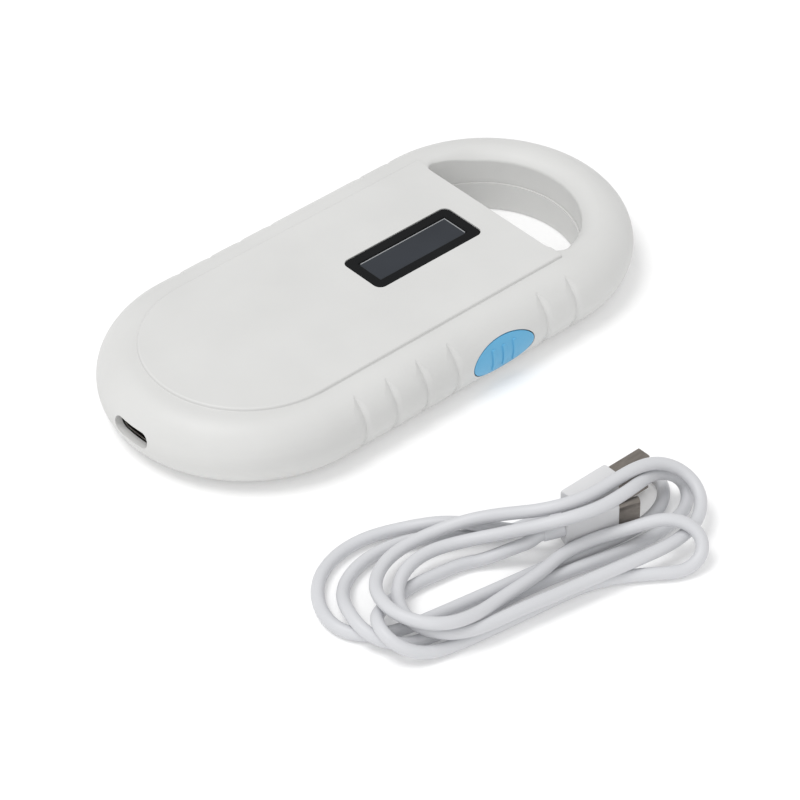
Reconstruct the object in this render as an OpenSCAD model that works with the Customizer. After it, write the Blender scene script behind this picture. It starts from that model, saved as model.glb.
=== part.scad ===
// Handheld animal microchip scanner with a ring-shaped reading head,
// a side button, a small display and a loose USB charging cable.
// Frame: +X towards the ring, +Y to the side without the button, +Z up.
// The origin is under the middle of the scanner, on the surface it lies on.

/* [Body] */
// Overall length, charging end to ring tip
body_l = 135; // [132:1:138]
// Overall width
body_w = 66; // [65:0.5:68]
// Height of the raised front panel
body_h = 16; // [15.8:0.1:16.4]
// Height of the joint between the two covers
split_z = 7.2; // [7.2:0.1:7.4]
// Radius of the side above the joint
upper_r = 8; // [7.8:0.1:8]
// Wall thickness of both covers
wall = 1.8; // [1.7:0.1:1.9]
// How far the flat front panel stands in from the outline
panel_inset = 9.2; // [9:0.1:9.6]

/* [Ring] */
// Radius of the round side of the finger hole
hole_r = 22; // [21.5:0.1:22]
// Distance of the hole's straight edge from the middle
hole_edge = 35; // [35:0.1:35.5]
// Corner radius of the hole
hole_corner = 3; // [2.5:0.1:3]

/* [Display] */
// Centre of the display along the body
display_x = 12.5; // [12:0.1:13]
// Length of the black display frame
bezel_l = 30.6; // [30:0.1:31]
// Width of the black display frame
bezel_w = 12.6; // [12.2:0.1:13]
// Length of the clear window
window_l = 25.4; // [24:0.1:26]
// Width of the clear window
window_w = 7.4; // [7:0.1:8]

/* [Button] */
// Centre of the side button along the body
button_x = 9.5; // [9:0.1:10]
// Length of the button
button_l = 17.4; // [16.5:0.1:17.6]
// Height of the button
button_h = 8.4; // [8:0.1:8.5]
// How far the button travels
button_travel = 0.4; // [0.2:0.05:0.4]

/* [Charging socket] */
// Height of the middle of the socket
port_z = 8; // [8:0.05:8.1]
// Width of the slot in the covers
slot_w = 10.8; // [10:0.1:11]
// Height of the slot in the covers
slot_h = 3.9; // [3.6:0.1:4]

/* [Reading coil] */
// Width of the wound wire bundle
coil_w = 3; // [2:0.1:3]
// Height of the wound wire bundle
coil_h = 5.6; // [4:0.1:5.6]

/* [Cable] */
// Diameter of the charging cable
cable_d = 2.8; // [2.6:0.1:2.8]
// Size of the plugs against standard ones
plug_scale = 0.75; // [0.72:0.01:0.75]

/* [Hidden] */
$fn = 96;

half_w = body_w / 2;
end_x = body_l / 2 - half_w;
lower_r = split_z;
rim_z = split_z + upper_r;
panel_r = half_w - panel_inset;
hole_x = body_l / 2 - 34.5;
hole_wall = 1.6;
gap = 0.05;

board_z = port_z + 1.63;
board_t = 1.2;
board_top = board_z + board_t;
board_r = 28.5;
board_end = hole_edge - 3;
ceiling = body_h - wall;

cover_screw_at = [[-46, 20], [-46, -20], [25, 22], [25, -22]];
board_screw_at = [[-30, 24], [-30, -24], [12, 21]];

// The button slides across the body; these are distances from the middle plane.
frame_y = -27.7;
flange_y = frame_y + 0.1;
post_y = -26;
switch_y = -24.9;

shell_grey = [0.88, 0.88, 0.87];
button_blue = [0.40, 0.70, 0.86];
board_green = [0.10, 0.32, 0.20];
metal_grey = [0.72, 0.71, 0.69];
plastic_black = [0.12, 0.12, 0.13];
copper = [0.72, 0.42, 0.22];

// ---------- outlines ----------

function arc(centre, r, from, to, steps) =
    [for (i = [0:steps]) let (a = from + (to - from) * i / steps)
        [centre[0] + r * cos(a), centre[1] + r * sin(a)]];

// The finger hole's outline: a round side and a straight edge, grown outwards by grow.
function hole_outline(grow) =
    let (cx = hole_edge + hole_corner,
         cy = sqrt(pow(hole_r - hole_corner, 2) - pow(cx - hole_x, 2)),
         turn = atan2(cy, cx - hole_x))
    concat(
        arc([hole_x, 0], hole_r + grow, -turn, turn, 40),
        arc([cx, cy], hole_corner + grow, turn + 8, 180, 8),
        arc([cx, -cy], hole_corner + grow, 180, 352 - turn, 8));

function oval(l, h) = [for (a = [0:7.5:352.5]) [l / 2 * cos(a), h / 2 * sin(a)]];

module rounded_plate(l, w, h, r) {
    for (s = [-1, 1], t = [-1, 1])
        translate([s * (l / 2 - r), t * (w / 2 - r), 0]) cylinder(r = r, h = h, $fn = 32);
    translate([-l / 2, -(w / 2 - r), 0]) cube([l, w - 2 * r, h]);
    translate([-(l / 2 - r), -w / 2, 0]) cube([l - 2 * r, w, h]);
}

module plate_at(l, w, h) {
    translate([-l / 2, -w / 2, 0]) cube([l, w, h]);
}

// Side profile above and below the joint, shrunk by inset.
module upper_profile(inset) {
    translate([0, split_z]) square([half_w - upper_r, upper_r - inset]);
    intersection() {
        translate([half_w - upper_r, split_z]) circle(r = upper_r - inset);
        translate([half_w - upper_r, split_z]) square(upper_r);
    }
}

module lower_profile(inset) {
    translate([0, inset]) square([half_w - lower_r, lower_r - inset]);
    intersection() {
        translate([half_w - lower_r, split_z]) circle(r = lower_r - inset);
        translate([half_w - lower_r, 0]) square(lower_r);
    }
}

// A body with round ends whose side follows the 2D profile.
module round_ended() {
    for (s = [-1, 1])
        translate([s * end_x, 0, 0]) rotate([0, 0, -90 * s])
            rotate_extrude(angle = 180) children();
    translate([-end_x, 0, 0]) rotate([90, 0, 90]) linear_extrude(2 * end_x) {
        children();
        mirror([1, 0]) children();
    }
}

// The raised front panel, from the charging end to the hole's straight edge.
module panel_block(r, from_z, to_z, end) {
    translate([-end_x, 0, from_z]) cylinder(r = r, h = to_z - from_z);
    translate([-end_x, -r, from_z]) cube([end + end_x, 2 * r, to_z - from_z]);
}

module finger_hole(grow, from_z, to_z) {
    translate([0, 0, from_z]) linear_extrude(to_z - from_z) polygon(hole_outline(grow));
}

module port_slot() {
    r = slot_h / 2;
    translate([-body_l / 2 - 1, 0, port_z]) rotate([0, 90, 0]) {
        for (s = [-1, 1]) translate([0, s * (slot_w / 2 - r), 0]) cylinder(r = r, h = 6, $fn = 48);
        translate([-r, -(slot_w / 2 - r), 0]) cube([slot_h, slot_w - slot_h, 6]);
    }
}

module button_prism(l, h, from_y, to_y) {
    translate([button_x, to_y, split_z]) rotate([90, 0, 0])
        linear_extrude(to_y - from_y) polygon(oval(l, h));
}

// The flat wall around the button, inside the covers.
module button_frame() {
    translate([button_x - 12, -half_w, 1]) cube([24, half_w + frame_y, 12.4]);
}

// ---------- covers ----------

module front_cover() {
    color(shell_grey) difference() {
        union() {
            round_ended() upper_profile(0);
            panel_block(panel_r, rim_z - 1, body_h, hole_edge);
        }
        difference() {
            union() {
                translate([0, 0, -gap]) round_ended() upper_profile(wall);
                round_ended() upper_profile(wall);
                panel_block(panel_r - wall, rim_z - wall - 1, ceiling, hole_edge);
            }
            finger_hole(hole_wall, 0, body_h + 1);
            button_frame();
            for (p = cover_screw_at) translate([p[0], p[1], 0]) cylinder(d = 5, h = body_h);
            for (p = board_screw_at) translate([p[0], p[1], board_top]) cylinder(d = 5, h = 6);
        }
        finger_hole(0, 0, body_h + 1);
        translate([display_x, 0, body_h - 1.1]) rounded_plate(bezel_l + 0.2, bezel_w + 0.2, 2, 1.9);
        translate([display_x, 0, ceiling - 1]) plate_at(window_l + 1.6, window_w + 1.6, 3);
        button_prism(button_l + 0.5, button_h + 0.5, -half_w - 1, frame_y + 1);
        port_slot();
        for (p = cover_screw_at) translate([p[0], p[1], 0]) cylinder(d = 2.05, h = 13, $fn = 48);
        for (p = board_screw_at) translate([p[0], p[1], 0]) cylinder(d = 2.05, h = 13.6, $fn = 48);
    }
}

module rear_cover() {
    color(shell_grey) difference() {
        round_ended() lower_profile(0);
        difference() {
            union() {
                round_ended() lower_profile(wall);
                translate([0, 0, gap]) round_ended() lower_profile(wall);
            }
            finger_hole(hole_wall, -1, body_h);
            button_frame();
            for (p = cover_screw_at) translate([p[0], p[1], 0]) cylinder(d = 5.6, h = split_z);
        }
        finger_hole(0, -1, body_h);
        button_prism(button_l + 0.5, button_h + 0.5, -half_w - 1, frame_y + 1);
        port_slot();
        for (p = cover_screw_at) translate([p[0], p[1], -1]) {
            cylinder(d = 4.2, h = 4, $fn = 48);
            cylinder(d = 2.3, h = 10, $fn = 48);
        }
    }
}

module screw(head_d, head_h, shank_l) {
    difference() {
        cylinder(d = head_d, h = head_h, $fn = 48);
        translate([0, 0, -0.1]) for (a = [0, 90]) rotate([0, 0, a])
            translate([-0.3, -head_d * 0.32, 0]) cube([0.6, head_d * 0.64, head_h * 0.6]);
    }
    translate([0, 0, head_h]) cylinder(d = 2, h = shank_l - 0.6, $fn = 48);
    translate([0, 0, head_h + shank_l - 0.6]) cylinder(d1 = 2, d2 = 0.9, h = 0.6, $fn = 48);
}

module cover_screws() {
    color(metal_grey) for (p = cover_screw_at) translate([p[0], p[1], 1.4]) screw(3.8, 1.6, 8);
}

module board_screws() {
    color(metal_grey) for (p = board_screw_at)
        translate([p[0], p[1], board_z - 1.2]) screw(3.8, 1.2, 3.8);
}

// ---------- button and switch ----------

module button_cap() {
    color(button_blue) {
        intersection() {
            button_prism(button_l, button_h, -half_w - 1, flange_y + 1);
            translate([button_x - 15, -half_w + 8.2, split_z]) rotate([0, 90, 0])
                cylinder(r = 8.2, h = 30);
        }
        button_prism(button_l, button_h, -half_w + 5, flange_y + 1);
        button_prism(button_l + 2, button_h + 1.2, flange_y, flange_y + 1);
        translate([button_x - 1.5, flange_y, split_z - 1]) cube([3, post_y - flange_y, 2]);
        for (i = [-1:1]) intersection() {
            translate([button_x + 3 * i - 0.45, -half_w - 1, split_z - 2.8]) cube([0.9, 4, 5.4]);
            translate([button_x - 15, -half_w + 8.2, split_z]) rotate([0, 90, 0])
                cylinder(r = 8.5, h = 30);
        }
    }
}

module switch_body() {
    color(plastic_black) difference() {
        translate([button_x - 3, switch_y, board_z - 4.3]) cube([6, 3.5, 4.3]);
        translate([button_x - 1.55, switch_y - 1, split_z - 0.8]) cube([3.1, 2 + button_travel, 1.6]);
    }
}

module switch_plunger() {
    color([0.75, 0.74, 0.70])
        translate([button_x - 1.5, post_y + 0.02, split_z - 0.75]) cube([3, 1.95, 1.5]);
}

// ---------- display ----------

module display_bezel() {
    color(plastic_black) translate([display_x, 0, body_h - 1.1]) difference() {
        rounded_plate(bezel_l, bezel_w, 1, 1.8);
        translate([0, 0, -1]) plate_at(window_l, window_w, 3);
    }
}

module display_window() {
    color([0.25, 0.29, 0.34, 0.8]) translate([display_x, 0, ceiling - 0.2]) {
        plate_at(window_l + 1.4, window_w + 1.4, 0.9);
        plate_at(window_l - 0.1, window_w - 0.1, 1.5);
    }
}

module display_gasket() {
    color(plastic_black) translate([display_x, 0, ceiling - 0.7]) difference() {
        plate_at(window_l + 1.4, window_w + 1.4, 0.5);
        translate([0, 0, -1]) plate_at(window_l - 1, window_w - 1, 3);
    }
}

module oled_panel() {
    color([0.13, 0.15, 0.18]) translate([display_x, 0, ceiling - 2.1]) plate_at(30, 11.5, 1.4);
}

module oled_flex() {
    x = display_x - 15;
    t = 0.25;
    color([0.80, 0.55, 0.20]) translate([x, 4, 0]) rotate([90, 0, 0]) linear_extrude(8) polygon([
        [0, ceiling - 1.2], [-1.6, ceiling - 1.4], [-2.4, ceiling - 2.2], [-2, board_top + t],
        [4, board_top + t], [4, board_top], [-2.5, board_top], [-2.9, ceiling - 2.1],
        [-1.9, ceiling - 1.1], [0, ceiling - 1.2 + t]]);
}

module display_pad() {
    color([0.25, 0.25, 0.26]) translate([display_x + 2, 0, board_top + 0.25])
        plate_at(20, 8, ceiling - 2.1 - board_top - 0.25);
}

// ---------- board and what sits on it ----------

module main_board() {
    color(board_green) difference() {
        union() {
            translate([-end_x, 0, board_z]) cylinder(r = board_r, h = board_t);
            translate([-end_x, -board_r, board_z]) cube([board_end + end_x, 2 * board_r, board_t]);
        }
        translate([button_x - 12.3, -board_r - 1, board_z - 1]) cube([24.6, 3.9, 4]);
        for (p = cover_screw_at) translate([p[0], p[1], board_z - 1]) cylinder(d = 5.4, h = 4);
        for (p = board_screw_at)
            translate([p[0], p[1], board_z - 1]) cylinder(d = 2.2, h = 4, $fn = 48);
    }
}

module usb_obround(w, h, l) {
    for (s = [-1, 1]) translate([0, s * (w - h) / 2, 0]) rotate([0, 90, 0])
        cylinder(d = h, h = l, $fn = 48);
    translate([0, -(w - h) / 2, -h / 2]) cube([l, w - h, h]);
}

module usb_socket_shell() {
    color(metal_grey) translate([-body_l / 2 + 2.2, 0, port_z]) difference() {
        usb_obround(8.94, 3.26, 7.35);
        translate([-1, 0, 0]) usb_obround(8.34, 2.66, 7.85);
    }
}

module usb_socket_tongue() {
    color(plastic_black) translate([-body_l / 2 + 2.2, 0, port_z]) {
        translate([0.8, -3.35, -0.35]) cube([5, 6.7, 0.7]);
        translate([5.6, 0, 0]) usb_obround(8.2, 2.5, 1.2);
    }
}

module microcontroller() {
    color(plastic_black) translate([-14, -10, board_top]) plate_at(7, 7, 1.2);
    color(metal_grey) translate([-14, -10, board_top]) for (a = [0:90:270], i = [-3:3])
        rotate([0, 0, a]) translate([3.5, i * 0.85 - 0.15, 0]) cube([1, 0.3, 0.3]);
}

module reader_chip() {
    color(plastic_black) translate([-26, 8, board_top]) plate_at(9.9, 3.9, 1.5);
    color(metal_grey) translate([-26, 8, board_top]) for (s = [-1, 1], i = [-3.5:3.5])
        translate([i * 1.27 - 0.2, s > 0 ? 1.95 : -2.95, 0]) cube([0.4, 1, 0.4]);
}

module charger_chip() {
    color(plastic_black) translate([-52, 9, board_top]) plate_at(2.9, 1.6, 1.1);
    color(metal_grey) translate([-52, 9, board_top]) for (s = [-1, 1], i = [-1:1])
        translate([i * 0.95 - 0.2, s > 0 ? 0.8 : -1.4, 0]) cube([0.4, 0.6, 0.3]);
}

module crystal() {
    color(metal_grey) translate([-14, 4, board_top]) rounded_plate(11, 4.4, 3, 2.1);
}

module tuning_capacitors() {
    color([0.70, 0.55, 0.35]) for (i = [0:2])
        translate([-32, -6 - 4.4 * i, board_top]) plate_at(4.5, 3.2, 1.9);
}

module power_inductor() {
    color([0.20, 0.20, 0.21]) translate([-44, -11, board_top]) {
        plate_at(6, 6, 0.6);
        cylinder(d = 5.4, h = 2.8);
    }
}

module buzzer() {
    color(plastic_black) translate([-44, 6, board_top]) difference() {
        cylinder(d = 9, h = 3);
        translate([0, 0, 2]) cylinder(d = 2, h = 2, $fn = 32);
    }
}

// ---------- coil and battery ----------

module antenna_coil() {
    color(copper) difference() {
        finger_hole(hole_wall + 0.4 + coil_w, 2.2, 2.2 + coil_h);
        finger_hole(hole_wall + 0.4, 1, 3 + coil_h);
    }
}

module coil_leads() {
    x = hole_edge - hole_wall - 0.4 - coil_w + 0.7;
    color(copper) for (s = [-1, 1]) translate([x, 3 * s, 2.2 + coil_h])
        cylinder(d = 0.6, h = board_z - 2.2 - coil_h, $fn = 24);
}

battery_l = 44;
battery_x = -54;

module battery_cell() {
    color([0.78, 0.79, 0.80]) translate([battery_x, 0, wall + 0.3 + 2.8]) {
        for (s = [-1, 1]) translate([0, s * 12.2, 0]) rotate([0, 90, 0])
            cylinder(d = 5.6, h = battery_l, $fn = 48);
        translate([0, -12.2, -2.8]) cube([battery_l, 24.4, 5.6]);
    }
}

module battery_tape() {
    color([0.85, 0.83, 0.75]) translate([battery_x + battery_l / 2, 0, wall]) plate_at(36, 18, 0.3);
}

module battery_protection() {
    color([0.75, 0.60, 0.15]) translate([battery_x + battery_l, -11, wall + 1.6]) cube([2.4, 22, 3.4]);
}

lead_x = battery_x + battery_l + 2.4;
plug_x = 0;

module battery_lead(y, tint) {
    color(tint) translate([lead_x, y, wall + 3.3]) rotate([0, 90, 0])
        cylinder(d = 1.1, h = plug_x - lead_x, $fn = 24);
}

module battery_lead_red() { battery_lead(1, [0.80, 0.12, 0.10]); }

module battery_lead_black() { battery_lead(-1, plastic_black); }

module battery_plug() {
    color([0.92, 0.91, 0.88]) translate([plug_x, -2.9, wall + 2]) cube([4.4, 5.8, 2.6]);
}

module battery_socket() {
    color([0.95, 0.94, 0.90]) difference() {
        translate([plug_x + 1.6, -3.7, wall + 1.4]) cube([6, 7.4, board_z - wall - 1.4]);
        translate([plug_x - 1, -2.95, wall + 1.95]) cube([5.5, 5.9, 2.7]);
    }
}

// ---------- charging cable ----------

// Each plug lies on its narrow side; its frame starts at the back of the housing.
plug_a_at = [-15, -78.3, 7.1 * plug_scale];
plug_c_at = [-19.7, -81.95, 2.85 + 5.3 * plug_scale];
plug_c_turn = -20.5;
plug_c_dir = [cos(plug_c_turn), sin(plug_c_turn), 0];
relief_a_l = 7.2;
relief_c_l = 6.2;

// The way the cable lies, between the two strain reliefs.
cable_route = concat([plug_a_at - [relief_a_l * plug_scale, 0, 0]], [
    [-23, -77.8, 5.3], [-26, -74, 4.9], [-28.8, -69.5, 4.5], [-32, -64, 4.1], [-37, -57.5, 1.8],
    [-45, -53.5, 1.4], [-55, -52.5, 1.4], [-65, -57.5, 1.4], [-69, -65, 1.4],
    [-68.5, -72.5, 1.4], [-62.5, -77, 1.4], [-49.5, -80, 1.4], [-22.5, -84.5, 1.4],
    [-6, -87.5, 1.4], [3, -86.5, 1.4], [9, -82.5, 1.4], [9.6, -76, 1.4], [3.5, -72.4, 1.4],
    [-19, -72, 1.4], [-29, -68.5, 1.4], [-39, -60.5, 1.4], [-50, -57.5, 1.4], [-61, -61, 1.6],
    [-66, -68.5, 4], [-67.8, -74.6, 4.3], [-66.3, -79.2, 2.2], [-57, -83.5, 1.4],
    [-30.5, -86.5, 1.4], [-10, -91, 1.4], [-1, -91.5, 1.4], [7, -90.3, 1.6], [11.5, -87.2, 3.4],
    [10, -83.2, 5.8], [4, -83.6, 7.9], [-4.5, -86.2, 11.9], [-10, -87.3, 12.4],
    [-16, -86.3, 12.4], [-22, -84.2, 12], [-28.5, -77.5, 8.6], [-34, -71.5, 5.6],
    [-40, -67.8, 4.6], [-47.5, -67, 4.4], [-54.5, -70.5, 4.3], [-58.5, -76, 4.3],
    [-59, -83, 4.4], [-54, -89, 4.3], [-45, -91, 4.2], [-23, -95, 4.2], [-3, -98, 4.2],
    [5, -96.2, 4.5], [9.8, -92, 5.6], [10.5, -87.5, 7.6], [7.2, -84.2, 10], [1.5, -83.2, 12.3],
    [-5, -83.2, 12.7], [-18, -82.2, 12.7], [-22.8, -78.6, 11.8], [-27, -73.2, 9.2],
    [-32, -67.2, 7], [-39.5, -63.2, 4.4], [-47, -62, 4.2], [-54, -64.5, 4.6],
    [-59.5, -69.5, 6.3], [-62.5, -76, 7.9], [-61, -83.5, 7.8], [-55, -88.5, 7.6],
    [-46, -88, 5.8], [-27, -86.4, 4.4], [-19.5, -85.4, 4.6], [-14, -88.2, 4.9],
    [-6.6, -92.1, 7.2], [-3.2, -94.9, 7.5], [0.3, -98.3, 7.3], [1.2, -101.8, 4.9],
    [-2.6, -104.4, 2], [-9.5, -101.2, 1.4], [-21, -94.2, 1.4], [-49, -89.5, 1.4],
    [-60, -87.2, 1.6], [-66, -83.5, 4.2], [-67, -78.6, 6.3], [-63.6, -74.8, 5],
    [-57.5, -71, 1.7], [-52, -69.8, 1.4], [-34.5, -73, 1.4], [-30, -77.2, 3.4], [-26.4, -79.5, 6.2]
    ], [plug_c_at - plug_c_dir * relief_c_l * plug_scale]);
cable_last = len(cable_route) - 1;
cable_sides = 8;

function unit(v) = v / norm(v);

function route_dir(i) =
    i == 0 ? [-1, 0, 0] :
    i == cable_last ? plug_c_dir :
    unit(unit(cable_route[i + 1] - cable_route[i]) + unit(cable_route[i] - cable_route[i - 1]));

function cable_ring(i) =
    let (dir = route_dir(i),
         side = unit(cross([0, 0, 1], dir)),
         up = cross(dir, side))
    [for (k = [0:cable_sides - 1]) let (a = (k + 0.5) * 360 / cable_sides)
        cable_route[i] + cable_d / 2 * (side * cos(a) + up * sin(a))];

module cable() {
    points = [for (i = [0:cable_last]) for (p = cable_ring(i)) p];
    start = [for (k = [0:cable_sides - 1]) k];
    end = [for (k = [cable_sides - 1:-1:0]) cable_last * cable_sides + k];
    wall_faces = [for (i = [0:cable_last - 1], k = [0:cable_sides - 1])
        let (a = i * cable_sides + k, b = i * cable_sides + (k + 1) % cable_sides)
        [a, a + cable_sides, b + cable_sides, b]];
    color([0.87, 0.87, 0.89]) polyhedron(points, concat([start, end], wall_faces));
}

module plug_a() {
    translate(plug_a_at) scale(plug_scale) children();
}

module plug_c() {
    translate(plug_c_at) rotate([0, 0, plug_c_turn]) scale(plug_scale) children();
}

// A bar along +X with a rounded section, thin along Y and tall along Z.
module plug_bar(from_x, l, thick, tall, r) {
    translate([from_x, 0, 0]) rotate([90, 0, 90]) linear_extrude(l) {
        for (s = [-1, 1], t = [-1, 1])
            translate([s * (thick / 2 - r), t * (tall / 2 - r)]) circle(r = r, $fn = 32);
        square([thick - 2 * r, tall], center = true);
        square([thick, tall - 2 * r], center = true);
    }
}

module strain_relief(l, root_d) {
    rotate([0, -90, 0]) cylinder(d1 = root_d, d2 = cable_d / plug_scale + 0.6, h = l, $fn = 48);
}

plug_a_l = 16.8;
plug_c_l = 15.7;

module usb_a_housing() { color("white") plug_a() plug_bar(0, plug_a_l, 6.4, 14.2, 1.2); }

module usb_a_shell() {
    color(metal_grey) plug_a() difference() {
        plug_bar(plug_a_l, 12.4, 4.5, 12, 0.4);
        plug_bar(plug_a_l - 1, 15, 3.9, 11.4, 0.2);
        for (t = [-1, 1]) translate([plug_a_l + 5.5, -3, t * 2.8 - 1.25]) cube([2.2, 6, 2.5]);
    }
}

module usb_a_tongue() {
    color([0.92, 0.91, 0.88]) plug_a() translate([plug_a_l, 0.1, -5.6]) cube([11.6, 1.85, 11.2]);
}

module usb_a_contacts() {
    color([0.85, 0.68, 0.30]) plug_a() for (z = [-3.5, -1, 1, 3.5])
        translate([plug_a_l + 1.5, -0.1, z - 0.5]) cube([8.5, 0.2, 1]);
}

module usb_a_strain_relief() { color("white") plug_a() strain_relief(relief_a_l, 5.6); }

module usb_c_housing() { color("white") plug_c() plug_bar(0, plug_c_l, 5, 10.6, 1.4); }

module usb_c_shell() {
    color(metal_grey) plug_c() translate([plug_c_l, 0, 0]) rotate([90, 0, 0]) difference() {
        usb_obround(8.34, 2.56, 6.65);
        translate([-1, 0, 0]) usb_obround(7.74, 1.96, 8.65);
    }
}

module usb_c_insert() {
    color(plastic_black) plug_c() translate([plug_c_l, 0, 0]) rotate([90, 0, 0]) difference() {
        usb_obround(7.74, 1.96, 6.3);
        translate([1, -3.4, -0.45]) cube([6, 6.8, 0.9]);
    }
}

module usb_c_contacts() {
    color([0.85, 0.68, 0.30]) plug_c() for (s = [-1, 1], i = [-5.5:5.5])
        translate([plug_c_l + 1.6, s > 0 ? 0.3 : -0.45, i * 0.5 - 0.13]) cube([3.6, 0.15, 0.26]);
}

module usb_c_strain_relief() { color("white") plug_c() strain_relief(relief_c_l, 4.6); }

front_cover();
rear_cover();
cover_screws();
board_screws();
button_cap();
display_bezel();
display_window();
display_gasket();
oled_panel();
oled_flex();
display_pad();
main_board();
usb_socket_shell();
usb_socket_tongue();
switch_body();
switch_plunger();
antenna_coil();
coil_leads();
battery_cell();
battery_tape();
battery_protection();
battery_lead_red();
battery_lead_black();
battery_plug();
battery_socket();
buzzer();
microcontroller();
reader_chip();
charger_chip();
crystal();
tuning_capacitors();
power_inductor();
cable();
usb_a_housing();
usb_a_shell();
usb_a_tongue();
usb_a_contacts();
usb_a_strain_relief();
usb_c_housing();
usb_c_shell();
usb_c_insert();
usb_c_contacts();
usb_c_strain_relief();
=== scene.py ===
"""Handheld microchip scanner with its loose charging cable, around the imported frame.

All lengths are in metres. +X points at the ring, the button is on the -Y side and +Z is up.
"""
import math

import bmesh
import bpy
from mathutils import Matrix, Vector


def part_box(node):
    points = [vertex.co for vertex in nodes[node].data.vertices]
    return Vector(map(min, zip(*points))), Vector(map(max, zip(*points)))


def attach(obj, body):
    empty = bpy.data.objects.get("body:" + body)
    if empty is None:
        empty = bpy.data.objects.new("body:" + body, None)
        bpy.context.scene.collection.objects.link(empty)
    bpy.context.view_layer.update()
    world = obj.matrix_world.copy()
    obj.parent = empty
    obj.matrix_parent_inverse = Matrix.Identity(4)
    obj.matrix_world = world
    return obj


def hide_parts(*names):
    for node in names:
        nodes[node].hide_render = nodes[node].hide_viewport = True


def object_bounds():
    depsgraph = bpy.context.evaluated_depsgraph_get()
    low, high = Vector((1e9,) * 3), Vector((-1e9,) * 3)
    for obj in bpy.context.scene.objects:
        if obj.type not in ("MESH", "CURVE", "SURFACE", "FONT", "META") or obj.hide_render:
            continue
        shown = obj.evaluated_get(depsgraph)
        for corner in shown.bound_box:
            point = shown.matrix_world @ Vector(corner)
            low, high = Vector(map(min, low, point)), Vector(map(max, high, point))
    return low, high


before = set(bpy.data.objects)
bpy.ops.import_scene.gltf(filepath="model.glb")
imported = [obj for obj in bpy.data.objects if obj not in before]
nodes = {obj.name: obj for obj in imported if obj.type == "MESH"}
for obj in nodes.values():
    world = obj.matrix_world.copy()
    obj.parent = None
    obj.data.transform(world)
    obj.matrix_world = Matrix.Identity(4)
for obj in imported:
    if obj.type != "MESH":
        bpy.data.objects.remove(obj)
cad_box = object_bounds()
mm = 0.001

# ---------- camera ----------

camera_azimuth = math.radians(-41.259)
camera_elevation = math.radians(39.766)
camera_roll = math.radians(-0.571)
camera_distance = 0.8063
camera_side = 0.006385
camera_rise = -0.015898
focal_in_frames = 4.563625
film_width = 36.0


def place_camera():
    """The camera on its arc round the origin, then moved sideways and up in its own plane."""
    sa, ca = math.sin(camera_azimuth), math.cos(camera_azimuth)
    se, ce = math.sin(camera_elevation), math.cos(camera_elevation)
    back = Vector((sa * ce, -ca * ce, se))
    right = Vector((ca, sa, 0))
    up = back.cross(right)
    cr, sr = math.cos(camera_roll), math.sin(camera_roll)
    across = right * cr + up * sr
    rise = up * cr - right * sr
    data = bpy.data.cameras.new("camera")
    data.sensor_width = film_width
    data.lens = focal_in_frames * film_width
    data.clip_start = 0.01
    data.clip_end = 20
    camera = bpy.data.objects.new("camera", data)
    bpy.context.scene.collection.objects.link(camera)
    turn = Matrix((across, rise, back)).transposed().to_4x4()
    place = back * camera_distance + across * camera_side + rise * camera_rise
    camera.matrix_world = Matrix.Translation(place) @ turn
    bpy.context.scene.camera = camera


# ---------- small helpers ----------

flat_angle = 0.4


def add_object(name, mesh):
    piece = bpy.data.objects.new(name, mesh)
    bpy.context.scene.collection.objects.link(piece)
    return piece


def mesh_object(name, bm):
    bmesh.ops.recalc_face_normals(bm, faces=bm.faces)
    mesh = bpy.data.meshes.new(name)
    bm.to_mesh(mesh)
    bm.free()
    return add_object(name, mesh)


def smooth_by_angle(piece, degrees):
    for face in piece.data.polygons:
        face.use_smooth = True
    piece.data.set_sharp_from_angle(angle=math.radians(degrees))


def finish(piece, body, slot_name, *finishes):
    """Rides on the body and gets its materials; slot_name is not used."""
    for one in finishes:
        piece.data.materials.append(one)
    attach(piece, body)
    return piece


def solid_copy(node):
    """The CAD node as one closed mesh, with its flat faces whole."""
    bm = bmesh.new()
    bm.from_mesh(nodes[node].data)
    bmesh.ops.remove_doubles(bm, verts=bm.verts, dist=1e-6)
    bmesh.ops.dissolve_limit(
        bm, angle_limit=math.radians(flat_angle), verts=bm.verts, edges=bm.edges
    )
    return bm


def round_edges(bm, width, least=50, segments=3, keep=None, clamp=True):
    """Rounds every edge that turns by more than the least angle and that keep agrees to."""
    edges = [
        edge for edge in bm.edges
        if len(edge.link_faces) == 2 and edge.calc_face_angle(0) > math.radians(least)
        and (keep is None or keep(edge))
    ]
    if edges:
        bmesh.ops.bevel(
            bm, geom=edges, offset=width, offset_type="OFFSET", affect="EDGES",
            segments=segments, profile=0.5, material=-1, clamp_overlap=clamp,
        )


def cut(piece, cutter):
    """Takes the cutter's shape out of the piece, for good."""
    tool = piece.modifiers.new("cut", "BOOLEAN")
    tool.operation = "DIFFERENCE"
    tool.solver = "EXACT"
    tool.object = cutter
    bpy.context.view_layer.update()
    shape = piece.evaluated_get(bpy.context.evaluated_depsgraph_get())
    mesh = bpy.data.meshes.new_from_object(shape)
    piece.modifiers.clear()
    old = piece.data
    piece.data = mesh
    bpy.data.meshes.remove(old)
    bpy.data.objects.remove(cutter)


# ---------- materials ----------


def new_material(name, rough, metal=0.0, coat=0.0, specular=0.5):
    material = bpy.data.materials.new(name)
    material.use_nodes = True
    tree = material.node_tree
    shader = tree.nodes["Principled BSDF"]
    shader.inputs["Roughness"].default_value = rough
    shader.inputs["Metallic"].default_value = metal
    shader.inputs["Coat Weight"].default_value = coat
    shader.inputs["Coat Roughness"].default_value = 0.08
    shader.inputs["Specular IOR Level"].default_value = specular
    place = tree.nodes.new("ShaderNodeTexCoord")
    return material, tree, shader, place.outputs["Object"]


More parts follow.
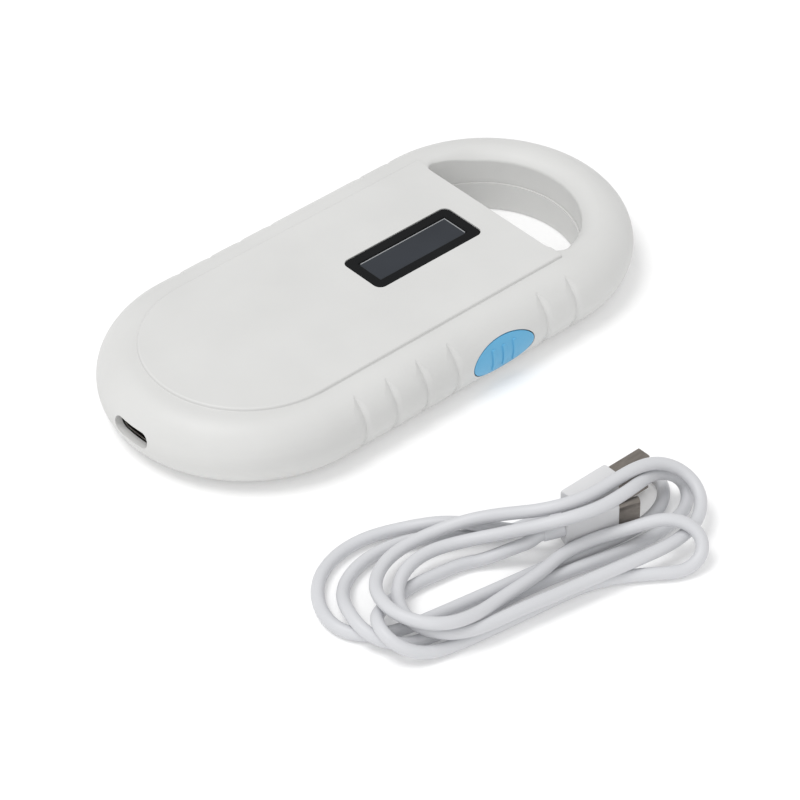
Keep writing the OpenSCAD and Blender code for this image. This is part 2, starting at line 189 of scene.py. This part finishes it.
def noise(tree, place, scale, detail=3.0, rough=0.5):
    node = tree.nodes.new("ShaderNodeTexNoise")
    node.inputs["Scale"].default_value = scale
    node.inputs["Detail"].default_value = detail
    node.inputs["Roughness"].default_value = rough
    tree.links.new(place, node.inputs["Vector"])
    return node.outputs["Fac"]


def blend_colours(tree, shader, factor, low, high, start=0.3, end=0.7):
    ramp = tree.nodes.new("ShaderNodeValToRGB")
    ramp.color_ramp.elements[0].position = start
    ramp.color_ramp.elements[0].color = (*low, 1)
    ramp.color_ramp.elements[1].position = end
    ramp.color_ramp.elements[1].color = (*high, 1)
    tree.links.new(factor, ramp.inputs["Fac"])
    tree.links.new(ramp.outputs["Color"], shader.inputs["Base Color"])


def bump(tree, shader, height, depth, strength=1.0):
    node = tree.nodes.new("ShaderNodeBump")
    node.inputs["Distance"].default_value = depth
    node.inputs["Strength"].default_value = strength
    tree.links.new(height, node.inputs["Height"])
    tree.links.new(node.outputs["Normal"], shader.inputs["Normal"])


def vary_roughness(tree, shader, factor, low, high):
    spread = tree.nodes.new("ShaderNodeMapRange")
    spread.inputs["To Min"].default_value = low
    spread.inputs["To Max"].default_value = high
    tree.links.new(factor, spread.inputs["Value"])
    tree.links.new(spread.outputs["Result"], shader.inputs["Roughness"])


def moulded(name, low, high, rough, grain=2600, depth=0.02 * mm, specular=0.4, coat=0.0):
    """Injection-moulded plastic: a fine spark-eroded grain and a little variation."""
    material, tree, shader, place = new_material(name, rough, specular=specular, coat=coat)
    blend_colours(tree, shader, noise(tree, place, 55, 4), low, high)
    vary_roughness(tree, shader, noise(tree, place, 160, 5), rough - 0.05, rough + 0.07)
    bump(tree, shader, noise(tree, place, grain, 2), depth, 0.35)
    return material


def metal(name, low, high, rough, along=(1, 1, 1)):
    """Drawn or plated metal with faint marks along the drawing direction."""
    material, tree, shader, place = new_material(name, rough, metal=1.0)
    stretch = tree.nodes.new("ShaderNodeMapping")
    stretch.inputs["Scale"].default_value = along
    tree.links.new(place, stretch.inputs["Vector"])
    marks = noise(tree, stretch.outputs["Vector"], 900, 5, 0.65)
    blend_colours(tree, shader, marks, low, high)
    vary_roughness(tree, shader, marks, rough - 0.08, rough + 0.12)
    bump(tree, shader, marks, 0.006 * mm, 0.5)
    return material


def clear_window():
    """Dark tinted window: glossy, slate coloured, with faint handling haze."""
    material, tree, shader, place = new_material("tinted_window", 0.12, specular=0.3)
    blend_colours(tree, shader, noise(tree, place, 60, 3), (0.016, 0.02, 0.027), (0.024, 0.029, 0.038))
    vary_roughness(tree, shader, noise(tree, place, 220, 5), 0.08, 0.2)
    return material


def circuit_board():
    """Green solder mask over copper tracks."""
    material, tree, shader, place = new_material("circuit_board", 0.35, coat=0.4)
    tracks = tree.nodes.new("ShaderNodeTexBrick")
    tracks.inputs["Scale"].default_value = 260
    tracks.inputs["Mortar Size"].default_value = 0.03
    tracks.inputs["Color1"].default_value = (0.012, 0.105, 0.045, 1)
    tracks.inputs["Color2"].default_value = (0.016, 0.135, 0.055, 1)
    tracks.inputs["Mortar"].default_value = (0.035, 0.21, 0.085, 1)
    tree.links.new(place, tracks.inputs["Vector"])
    tree.links.new(tracks.outputs["Color"], shader.inputs["Base Color"])
    bump(tree, shader, tracks.outputs["Fac"], 0.03 * mm, 0.6)
    return material


def wound_wire():
    """Enamelled copper wire, wound turn beside turn."""
    material, tree, shader, place = new_material("wound_wire", 0.28, metal=0.85)
    turns = tree.nodes.new("ShaderNodeTexWave")
    turns.wave_type = "BANDS"
    turns.bands_direction = "Z"
    turns.inputs["Scale"].default_value = 900
    turns.inputs["Distortion"].default_value = 0.8
    tree.links.new(place, turns.inputs["Vector"])
    blend_colours(tree, shader, turns.outputs["Fac"], (0.22, 0.07, 0.02), (0.72, 0.31, 0.12), 0.1, 0.8)
    bump(tree, shader, turns.outputs["Fac"], 0.12 * mm, 0.8)
    return material


def battery_foil():
    """Laminated pouch foil: matt silver with soft wrinkles."""
    material, tree, shader, place = new_material("battery_foil", 0.38, metal=0.75)
    wrinkles = noise(tree, place, 130, 3, 0.55)
    blend_colours(tree, shader, wrinkles, (0.55, 0.56, 0.58), (0.78, 0.79, 0.81))
    bump(tree, shader, wrinkles, 0.25 * mm, 0.6)
    return material


def amber_film():
    """Polyimide film: amber, half glossy, with copper tracks showing through."""
    material, tree, shader, place = new_material("amber_film", 0.25, coat=0.5)
    tracks = tree.nodes.new("ShaderNodeTexWave")
    tracks.bands_direction = "Y"
    tracks.inputs["Scale"].default_value = 420
    tree.links.new(place, tracks.inputs["Vector"])
    blend_colours(tree, shader, tracks.outputs["Fac"], (0.42, 0.16, 0.02), (0.72, 0.36, 0.06), 0.35, 0.65)
    bump(tree, shader, tracks.outputs["Fac"], 0.02 * mm, 0.5)
    return material


def soft_foam(name, low, high):
    """Closed-cell foam: a fine cell pattern."""
    material, tree, shader, place = new_material(name, 0.9, specular=0.2)
    cells = tree.nodes.new("ShaderNodeTexVoronoi")
    cells.inputs["Scale"].default_value = 3200
    tree.links.new(place, cells.inputs["Vector"])
    blend_colours(tree, shader, cells.outputs["Distance"], low, high, 0.1, 0.9)
    bump(tree, shader, cells.outputs["Distance"], 0.08 * mm, 0.8)
    return material


def make_materials():
    return {
        "shell": moulded("shell_plastic", (0.625, 0.625, 0.615), (0.655, 0.655, 0.645), 0.46),
        "button": moulded("button_plastic", (0.11, 0.385, 0.62), (0.125, 0.42, 0.67), 0.38, coat=0.1),
        "black_plastic": moulded(
            "black_plastic", (0.006, 0.0063, 0.007), (0.0085, 0.009, 0.0098), 0.5, specular=0.08,
        ),
        # light grey on the window's polished edge: a painted highlight
        "window_edge_painted_highlight": moulded("window_edge_painted_highlight", (0.30, 0.31, 0.32), (0.42, 0.43, 0.44), 0.25),
        "window_glass": clear_window(),
        "oled_glass": moulded(
            "display_glass", (0.02, 0.024, 0.032), (0.03, 0.035, 0.045), 0.12, depth=0.002 * mm, coat=1.0,
        ),
        "foam": soft_foam("seal_foam", (0.012, 0.012, 0.013), (0.05, 0.05, 0.052)),
        "flex_film": amber_film(),
        "board": circuit_board(),
        "steel": metal("zinc_steel", (0.44, 0.45, 0.47), (0.66, 0.67, 0.69), 0.32),
        "plug_metal": metal("nickel_plate", (0.22, 0.198, 0.178), (0.32, 0.29, 0.262), 0.3, (0.25, 1, 1)),
        "ivory_plastic": moulded("ivory_nylon", (0.66, 0.62, 0.52), (0.72, 0.68, 0.58), 0.42),
        "copper": wound_wire(),
        "battery_foil": battery_foil(),
        "tape": soft_foam("foam_tape", (0.55, 0.52, 0.42), (0.72, 0.69, 0.58)),
        "red_wire": moulded("red_silicone", (0.42, 0.012, 0.01), (0.52, 0.018, 0.014), 0.5),
        "black_wire": moulded("black_silicone", (0.012, 0.012, 0.012), (0.022, 0.022, 0.022), 0.5),
        "chip": moulded("chip_epoxy", (0.012, 0.012, 0.013), (0.022, 0.022, 0.024), 0.55, grain=5200),
        "ceramic": moulded("ceramic_body", (0.36, 0.24, 0.12), (0.46, 0.32, 0.17), 0.4),
        "ferrite": moulded("ferrite_body", (0.022, 0.022, 0.024), (0.045, 0.045, 0.048), 0.6),
        "cable_jacket": moulded(
            "cable_jacket", (0.60, 0.605, 0.625), (0.63, 0.635, 0.655), 0.42, grain=1400, depth=0.015 * mm,
        ),
        "plug_plastic": moulded("plug_plastic", (0.655, 0.655, 0.665), (0.685, 0.685, 0.695), 0.38),
        "gold": metal("gold_plate", (0.72, 0.46, 0.13), (0.86, 0.60, 0.22), 0.22),
    }


# ---------- scanner ----------

outline_y = 0.033
end_centre = 0.0345
split_z = 0.0072
upper_radius = 0.008
lower_radius = 0.0072
groove_places = (-0.0295, -0.0208, -0.0121, -0.0033, 0.0229, 0.0316)

# One grip groove across its width: distance along the body and depth, in millimetres.
groove_shape = (
    (-2.6, 0.9), (-2.6, 0.03), (-1.8, -0.07), (-1.1, -0.2), (-0.5, -0.42), (-0.1, -0.66), (0.08, -0.7),
    (0.24, -0.5), (0.6, -0.24), (1.2, -0.06), (1.8, 0.03), (1.8, 0.9),
)
# Where a groove starts on the side's rounding and how far it runs, in degrees, for each cover.
groove_sweep = {"upper": (-6, 76), "lower": (6, -62)}
groove_steps = 24
groove_fade = 0.6
groove_lift = 0.00085

hole_centre = 0.033
hole_radius = 0.022
hole_edge = 0.035
hole_corner = 0.003
rim_z = split_z + upper_radius
panel_radius = 0.0238
hole_step = 0.00035
least_rounding = 0.4
cutter_reach = 0.001


def loft(bm, rings, closed):
    """Joins rings of points into a tube, with flat ends where it isn't closed."""
    count = len(rings[0])
    made = [[bm.verts.new(place) for place in ring] for ring in rings]
    follow = made[1:] + (made[:1] if closed else [])
    for one, two in zip(made, follow):
        for corner in range(count):
            after = (corner + 1) % count
            bm.faces.new((one[corner], one[after], two[after], two[corner]))
    if not closed:
        bm.faces.new(made[0])
        bm.faces.new(made[-1])


def even_shading(piece):
    """Keeps flat faces flat where they meet rounded edges."""
    shading = piece.modifiers.new("even_shading", "WEIGHTED_NORMAL")
    shading.mode = "FACE_AREA"
    shading.weight = 100
    shading.keep_sharp = True


def groove_cutters(name, top):
    """Bars bent round the side of one cover, on both long sides, one for each grip groove."""
    radius = upper_radius if top else lower_radius
    start, sweep = groove_sweep["upper" if top else "lower"]
    bm = bmesh.new()
    for x in groove_places:
        for side in (-1, 1):
            rings = []
            for step in range(groove_steps + 1):
                share = step / groove_steps
                turn = math.radians(start + sweep * share)
                fade = max(0.0, (share - groove_fade) / (1 - groove_fade))
                lift = groove_lift * fade * fade
                out = Vector((0, side * math.cos(turn), math.sin(turn)))
                foot = Vector((x, side * (outline_y - radius), split_z)) + out * (radius + lift)
                rings.append([
                    foot + Vector((along * mm, 0, 0)) + out * depth * mm for along, depth in groove_shape
                ])
            loft(bm, rings, False)
    return mesh_object(name, bm)


def hole_stations():
    """Points round the finger hole, each with its outward direction and its share of the rounding."""
    corner_x = hole_edge + hole_corner
    corner_y = math.sqrt((hole_radius - hole_corner) ** 2 - (corner_x - hole_centre) ** 2)
    turn = math.atan2(corner_y, corner_x - hole_centre)
    found = []
    for step in range(65):
        angle = turn * (step / 32 - 1)
        out = Vector((math.cos(angle), math.sin(angle), 0))
        fade = min(1.0, (turn - abs(angle)) / math.radians(26))
        share = least_rounding + (1 - least_rounding) * fade * fade * (3 - 2 * fade)
        found.append((Vector((hole_centre, 0, 0)) + out * hole_radius, out, share))

    def round_corner(side, along):
        angle = turn + (math.pi - turn) * along
        out = Vector((math.cos(angle), side * math.sin(angle), 0))
        place = Vector((corner_x, side * corner_y, 0)) + out * hole_corner
        return place, out, least_rounding * (1 - along) ** 2

    found += [round_corner(1, step / 9) for step in range(1, 10)]
    found.append((Vector((hole_edge, -corner_y, 0)), Vector((-1, 0, 0)), 0.0))
    found += [round_corner(-1, 1 - step / 9) for step in range(1, 9)]
    return found


def edge_profile(share):
    """How the ring's top runs down into the hole: a small rounding, then a long low crown."""
    tight, wide, lean = 0.001, 0.0056, math.radians(45)
    places = []
    for step in range(6):
        angle = lean * step / 5
        places.append((tight * (1 - math.cos(angle)), tight * math.sin(angle)))
    away, height = places[-1]
    for step in range(1, 8):
        angle = lean + (math.pi / 2 - lean) * step / 7
        places.append((
            away + wide * (math.cos(lean) - math.cos(angle)),
            height + wide * (math.sin(angle) - math.sin(lean)),
        ))
    drop = places[-1][1]
    size = 0.04 + 0.96 * share
    return [(hole_step + away * size, rim_z + (height - drop) * size) for away, height in places]


def hole_cutter(name):
    """Steps the hole's wall back at the joint line and rounds its top edge off towards the tip."""
    top = cad_box[1][2] + cutter_reach
    foot_z = split_z - cutter_reach
    bm = bmesh.new()
    rings = []
    for foot, out, share in hole_stations():
        places = [(-cutter_reach, top), (-cutter_reach, foot_z), (hole_step, foot_z)]
        places += edge_profile(share)
        places.append((places[-1][0], top))
        rings.append([foot + out * away + Vector((0, 0, height)) for away, height in places])
    loft(bm, rings, True)
    return mesh_object(name, bm)


def on_outline(edge, height):
    """Whether the edge runs along the raised panel's outline at that height, short of the hole."""
    one, two = edge.verts[0].co, edge.verts[1].co
    middle = (one + two) / 2
    if max(abs(one.z - height), abs(two.z - height)) > 1e-5 or middle.x > end_centre:
        return False
    away = abs(middle.y)
    if middle.x < -end_centre:
        away = Vector((middle.x + end_centre, middle.y)).length
    return abs(away - panel_radius) < 0.0003


def cover(node, material, top):
    """One half of the shell with its grip grooves; the top half also gets its hole and soft panel edge."""
    piece = mesh_object(node + "_finished", solid_copy(node))
    if top:
        cut(piece, hole_cutter(node + "_hole"))
    cut(piece, groove_cutters(node + "_grooves", top))
    bm = bmesh.new()
    bm.from_mesh(piece.data)
    bmesh.ops.remove_doubles(bm, verts=bm.verts, dist=2e-6)
    if top:
        panel = cad_box[1][2]
        round_edges(bm, 0.0005, 60, 4, lambda e: on_outline(e, panel), clamp=False)
        round_edges(bm, 0.00025, 60, 3, lambda e: on_outline(e, rim_z), clamp=False)
    bm.to_mesh(piece.data)
    bm.free()
    smooth_by_angle(piece, 34)
    even_shading(piece)
    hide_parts(node)
    return finish(piece, "housing", "shell", material)


def window_edge_painted_highlight(material):
    """The polished edge of the clear window, which shows along its far side and one end; its light grey
    colour is a painted highlight.
    """
    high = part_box("display_window")[1]
    middle = sum(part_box("display_bezel"), Vector((0, 0, 0))) / 2
    half_l, half_w, wide = 0.01262, 0.00362, 0.00026
    path = [
        Vector((middle.x - half_l + 0.0004, middle.y + half_w, high.z)),
        Vector((middle.x + half_l, middle.y + half_w, high.z)),
        Vector((middle.x + half_l, middle.y - half_w + 0.0004, high.z)),
    ]
    turns = (Vector((0, -1, 0)), Vector((-1, -1, 0)), Vector((-1, 0, 0)))
    bm = bmesh.new()
    rings = [
        [
            place + Vector((0, 0, -0.0002)),
            place + Vector((0, 0, 0.00012)),
            place + turn * wide * 0.5 + Vector((0, 0, 0.0001)),
            place + turn * wide + Vector((0, 0, -0.0002)),
        ]
        for place, turn in zip(path, turns)
    ]
    loft(bm, rings, False)
    return finish(mesh_object("window_edge_painted_highlight", bm), "housing", "window_glass", material)


def refined(node, body, slot_name, material, width, least=50, cutter=None, clamp=False):
    """A CAD node with its edges rounded, as moulding, pressing or tumbling leaves them."""
    bm = solid_copy(node)
    round_edges(bm, width, least, clamp=clamp)
    piece = mesh_object(node + "_finished", bm)
    if cutter is not None:
        cut(piece, cutter)
    smooth_by_angle(piece, 32)
    even_shading(piece)
    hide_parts(node)
    return finish(piece, body, slot_name, material)


def latch_hole_cutters(name):
    """The two square latch holes in each wide side of the USB-A shell."""
    low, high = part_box("usb_a_shell")
    middle = (low + high) / 2
    reach = Vector((0.0009, 0.0006, 0.00075))
    from_mouth = 0.0048
    apart = 0.0021
    bm = bmesh.new()
    for side in (-1, 1):
        for height in (-1, 1):
            place = Vector((
                low.x + from_mouth, middle.y + side * (high.y - low.y) / 2, middle.z + height * apart,
            ))
            made = bmesh.ops.create_cube(bm, size=2)["verts"]
            for vert in made:
                vert.co = place + Vector((vert.co.x * reach.x, vert.co.y * reach.y, vert.co.z * reach.z))
    return mesh_object(name, bm)


# ---------- cable ----------

cable_diameter = 0.0028
plug_c_way = Vector((math.cos(math.radians(-20.5)), math.sin(math.radians(-20.5)), 0))
plug_reach = 0.0012
# The cable's centreline, from the USB-A plug to the USB-C plug.
cable_points = (
    (-0.0204, -0.0783, 0.005325), (-0.023, -0.0778, 0.0053), (-0.026, -0.074, 0.0049),
    (-0.0288, -0.0695, 0.0045), (-0.032, -0.064, 0.0041), (-0.037, -0.0575, 0.0018),
    (-0.045, -0.0535, 0.0014), (-0.055, -0.0525, 0.0014), (-0.065, -0.0575, 0.0014),
    (-0.069, -0.065, 0.0014), (-0.0685, -0.0725, 0.0014), (-0.0625, -0.077, 0.0014),
    (-0.0495, -0.08, 0.0014), (-0.0225, -0.0845, 0.0014), (-0.006, -0.0875, 0.0014),
    (0.003, -0.0865, 0.0014), (0.009, -0.0825, 0.0014), (0.0096, -0.076, 0.0014),
    (0.0035, -0.0724, 0.0014), (-0.019, -0.072, 0.0014), (-0.029, -0.0685, 0.0014),
    (-0.039, -0.0605, 0.0014), (-0.05, -0.0575, 0.0014), (-0.061, -0.061, 0.0016),
    (-0.066, -0.0685, 0.004), (-0.0678, -0.0746, 0.0043), (-0.0663, -0.0792, 0.0022),
    (-0.057, -0.0835, 0.0014), (-0.0305, -0.0865, 0.0014), (-0.01, -0.091, 0.0014),
    (-0.001, -0.0915, 0.0014), (0.007, -0.0903, 0.0016), (0.0115, -0.0872, 0.0034),
    (0.01, -0.0832, 0.0058), (0.004, -0.0836, 0.0079), (-0.0045, -0.0862, 0.0119),
    (-0.01, -0.0873, 0.0124), (-0.016, -0.0863, 0.0124), (-0.022, -0.0842, 0.012),
    (-0.0285, -0.0775, 0.0086), (-0.034, -0.0715, 0.0056), (-0.04, -0.0678, 0.0046),
    (-0.0475, -0.067, 0.0044), (-0.0545, -0.0705, 0.0043), (-0.0585, -0.076, 0.0043),
    (-0.059, -0.083, 0.0044), (-0.054, -0.089, 0.0043), (-0.045, -0.091, 0.0042),
    (-0.023, -0.095, 0.0042), (-0.003, -0.098, 0.0042), (0.005, -0.0962, 0.0045),
    (0.0098, -0.092, 0.0056), (0.0105, -0.0875, 0.0076), (0.0072, -0.0842, 0.01),
    (0.0015, -0.0832, 0.0123), (-0.005, -0.0832, 0.0127), (-0.018, -0.0822, 0.0127),
    (-0.0228, -0.0786, 0.0118), (-0.027, -0.0732, 0.0092), (-0.032, -0.0672, 0.007),
    (-0.0395, -0.0632, 0.0044), (-0.047, -0.062, 0.0042), (-0.054, -0.0645, 0.0046),
    (-0.0595, -0.0695, 0.0063), (-0.0625, -0.076, 0.0079), (-0.061, -0.0835, 0.0078),
    (-0.055, -0.0885, 0.0076), (-0.046, -0.088, 0.0058), (-0.027, -0.0864, 0.0044),
    (-0.0195, -0.0854, 0.0046), (-0.014, -0.0882, 0.0049), (-0.0066, -0.0921, 0.0072),
    (-0.0032, -0.0949, 0.0075), (0.0003, -0.0983, 0.0073), (0.0012, -0.1018, 0.0049),
    (-0.0026, -0.1044, 0.002), (-0.0095, -0.1012, 0.0014), (-0.021, -0.0942, 0.0014),
    (-0.049, -0.0895, 0.0014), (-0.06, -0.0872, 0.0016), (-0.066, -0.0835, 0.0042),
    (-0.067, -0.0786, 0.0063), (-0.0636, -0.0748, 0.005), (-0.0575, -0.071, 0.0017),
    (-0.052, -0.0698, 0.0014), (-0.0345, -0.073, 0.0014), (-0.03, -0.0772, 0.0034),
    (-0.0264, -0.0795, 0.0062), (-0.024056, -0.080322, 0.006825),
)


def eased(line, reach):
    """Each point moved to the mean of its neighbours, with the two ends held."""
    last = len(line) - 1
    moved = []
    for index in range(len(line)):
        width = min(reach, index, last - index)
        nearby = line[index - width:index + width + 1]
        moved.append(sum(nearby, Vector((0, 0, 0))) / len(nearby))
    return moved


def smooth_route(points, step=0.001, reach=7):
    """One even, smooth line through the route, which stays on or above the table."""
    places = [Vector(place) for place in points]
    places.insert(0, places[0] + Vector((plug_reach, 0, 0)))
    places.append(places[-1] + plug_c_way * plug_reach)
    fine = []
    for index in range(len(places) - 1):
        before = places[max(index - 1, 0)]
        one, two = places[index], places[index + 1]
        after = places[min(index + 2, len(places) - 1)]
        span = (two - one).length
        lead = (two - before).normalized() * span
        leave = (after - one).normalized() * span
        count = max(2, round(span / step))
        for part in range(count):
            t = part / count
            fine.append(
                one * (2 * t ** 3 - 3 * t ** 2 + 1) + lead * (t ** 3 - 2 * t ** 2 + t)
                + two * (3 * t ** 2 - 2 * t ** 3) + leave * (t ** 3 - t ** 2)
            )
    fine.append(places[-1])
    once = eased(fine, reach)
    twice = eased(once, reach)
    fine = [2 * one - two for one, two in zip(once, twice)]
    for place in fine:
        place.z = max(place.z, cable_diameter / 2)
    return fine


def make_cable(material):
    """The cable as one round cord, which carries both plugs with it."""
    data = bpy.data.curves.new("cable_jacket", "CURVE")
    data.dimensions = "3D"
    data.bevel_depth = cable_diameter / 2
    data.bevel_resolution = 6
    data.use_fill_caps = True
    route = smooth_route(cable_points)
    spline = data.splines.new("POLY")
    spline.points.add(len(route) - 1)
    for point, place in zip(spline.points, route):
        point.co = (*place, 1)
    spline.use_smooth = True
    piece = bpy.data.objects.new("cable_jacket", data)
    bpy.context.scene.collection.objects.link(piece)
    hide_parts("cable")
    finish(piece, "cable", "cable_jacket", material)


# ---------- floor and light ----------


def make_floor():
    bm = bmesh.new()
    bmesh.ops.create_grid(bm, x_segments=1, y_segments=1, size=3)
    floor = mesh_object("floor", bm)
    material, tree, shader, place = new_material("pale_floor", 0.9, specular=0.05)
    blend_colours(tree, shader, noise(tree, place, 8), (0.86, 0.86, 0.86), (0.88, 0.88, 0.88))
    shader.inputs["Emission Color"].default_value = (1, 1, 1, 1)
    shader.inputs["Emission Strength"].default_value = 0.14
    floor.data.materials.append(material)
    floor.location.z = -0.0002


def add_light(name, place, target, size, power):
    data = bpy.data.lights.new(name, "AREA")
    data.shape = "DISK"
    data.size = size
    data.energy = power
    light = bpy.data.objects.new(name, data)
    bpy.context.scene.collection.objects.link(light)
    aim = (Vector(target) - Vector(place)).normalized()
    turn = aim.to_track_quat("-Z", "Y").to_matrix().to_4x4()
    light.matrix_world = Matrix.Translation(Vector(place)) @ turn


def make_lights():
    world = bpy.data.worlds.new("soft_room")
    world.use_nodes = True
    room = world.node_tree.nodes["Background"]
    room.inputs["Color"].default_value = (1, 1, 1, 1)
    room.inputs["Strength"].default_value = 0.7
    bpy.context.scene.world = world
    bpy.context.scene.view_settings.view_transform = "Standard"
    middle = (0, -0.04, 0)
    add_light("key_light", (-0.45, 0.25, 1.4), middle, 0.8, 9.0)
    add_light("fill_light", (-0.95, -1.1, 0.9), middle, 1.0, 4.6)


# ---------- the whole scene ----------

housing_round = 0.00045
relief_round = 0.0002
pressed_round = 0.00008

kept_nodes = {
    "steel": ("cover_screws", "board_screws", "crystal"),
    "black_plastic": ("usb_socket_tongue", "switch_body", "buzzer", "usb_c_insert"),
    "foam": ("display_gasket", "display_pad"),
    "oled_glass": ("oled_panel",),
    "flex_film": ("oled_flex", "battery_protection"),
    "board": ("main_board",),
    "plug_metal": ("usb_socket_shell",),
    "ivory_plastic": ("switch_plunger", "battery_plug", "battery_socket", "usb_a_tongue"),
    "copper": ("antenna_coil", "coil_leads"),
    "battery_foil": ("battery_cell",),
    "tape": ("battery_tape",),
    "red_wire": ("battery_lead_red",),
    "black_wire": ("battery_lead_black",),
    "chip": ("microcontroller", "reader_chip", "charger_chip"),
    "ceramic": ("tuning_capacitors",),
    "ferrite": ("power_inductor",),
    "gold": ("usb_a_contacts", "usb_c_contacts"),
}


def paint_kept_nodes(materials):
    for slot_name, names in kept_nodes.items():
        for name in names:
            slots = nodes[name].material_slots
            if not slots:
                nodes[name].data.materials.append(materials[slot_name])
            for one in slots:
                one.material = materials[slot_name]


def main():
    place_camera()
    materials = make_materials()
    latches = latch_hole_cutters("latch_holes")
    plugs = [
        refined("usb_a_shell", "cable", "plug_metal", materials["plug_metal"], pressed_round, cutter=latches)
    ]
    plugs += [
        refined(node, "cable", slot_name, materials[slot_name], width)
        for node, slot_name, width in (
            ("usb_a_housing", "plug_plastic", housing_round),
            ("usb_a_strain_relief", "cable_jacket", relief_round),
            ("usb_c_housing", "plug_plastic", housing_round),
            ("usb_c_shell", "plug_metal", pressed_round),
            ("usb_c_strain_relief", "cable_jacket", relief_round),
        )
    ]
    make_cable(materials["cable_jacket"])
    cover("front_cover", materials["shell"], True)
    cover("rear_cover", materials["shell"], False)
    refined("button_cap", "button", "button", materials["button"], 0.00025, 45, clamp=True)
    refined("display_bezel", "housing", "black_plastic", materials["black_plastic"], 0.00025)
    refined("display_window", "housing", "window_glass", materials["window_glass"], 0.0001)
    window_edge_painted_highlight(materials["window_edge_painted_highlight"])
    paint_kept_nodes(materials)
    make_floor()
    make_lights()


main()
